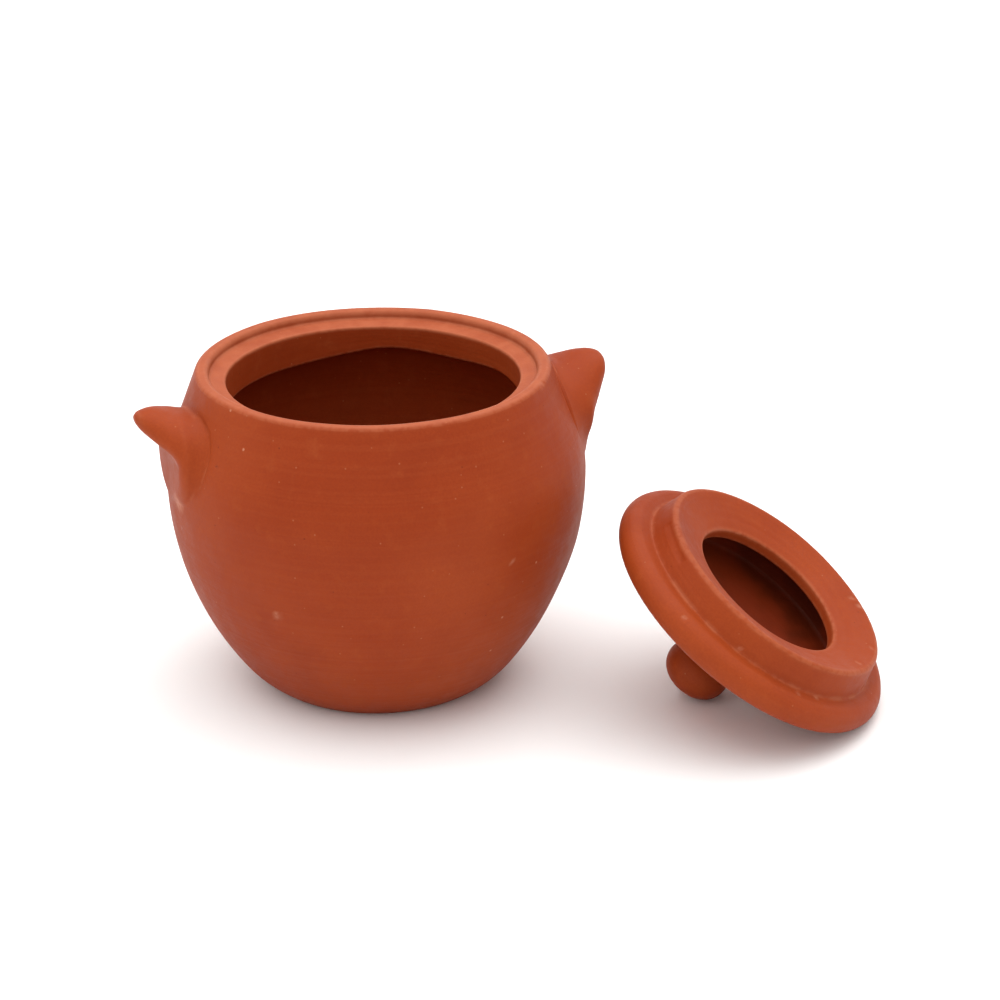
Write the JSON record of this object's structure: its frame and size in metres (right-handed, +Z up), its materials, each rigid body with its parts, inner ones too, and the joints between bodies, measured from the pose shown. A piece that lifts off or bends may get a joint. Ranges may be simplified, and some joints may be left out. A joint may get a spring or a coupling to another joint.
{
  "type": "clay soup pot",
  "caption": "Squat round-bellied unglazed clay soup pot with blunt pulled ears and a recessed rim; its domed lid is taken off and leans on its ball knob beside it.",
  "frame": {"origin": "centre of the pot's foot, on the surface it stands on", "axes": "+Z up the pot's axis, +X along the line through the ears, +Y towards the pot's back"},
  "size_m": [0.205, 0.1598, 0.0953],
  "materials": {
    "clay": "matte"
  },
  "bodies": {
    "root": {"pot": "clay", "lid": "clay"}
  },
  "joints": []
}
